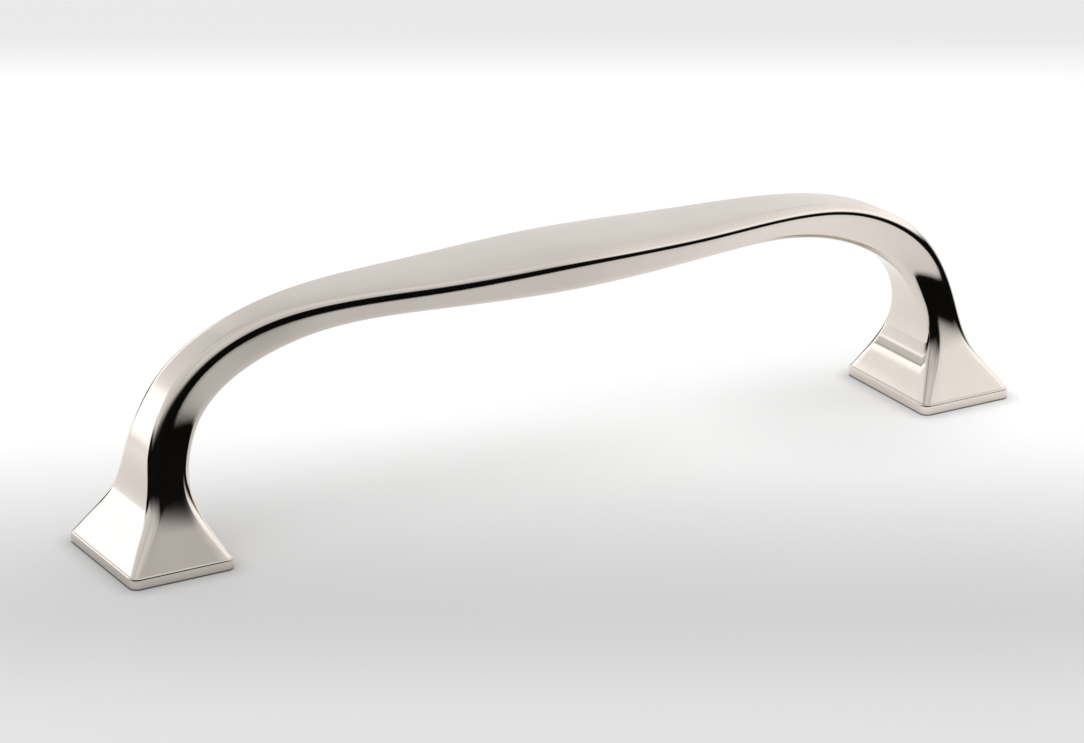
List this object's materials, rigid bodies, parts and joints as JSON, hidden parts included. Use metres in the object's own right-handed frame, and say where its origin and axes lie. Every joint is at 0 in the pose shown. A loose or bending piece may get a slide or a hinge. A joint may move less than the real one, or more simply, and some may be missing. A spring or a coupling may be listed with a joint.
{
  "type": "cabinet handle",
  "caption": "Cabinet pull: a bow-shaped bar that swells to a crowned grip, on flared rectangular feet with thin base plates, to be screwed to a door or drawer front from behind.",
  "frame": {"origin": "midway between the feet, on the plane of the door that the feet stand on", "axes": "+X along the bar, +Y across the bar, +Z away from the door, up through the grip"},
  "size_m": [0.1434, 0.0208, 0.0347],
  "materials": {
    "nickel": "polished nickel"
  },
  "bodies": {
    "root": {"pull": "nickel"}
  },
  "joints": []
}
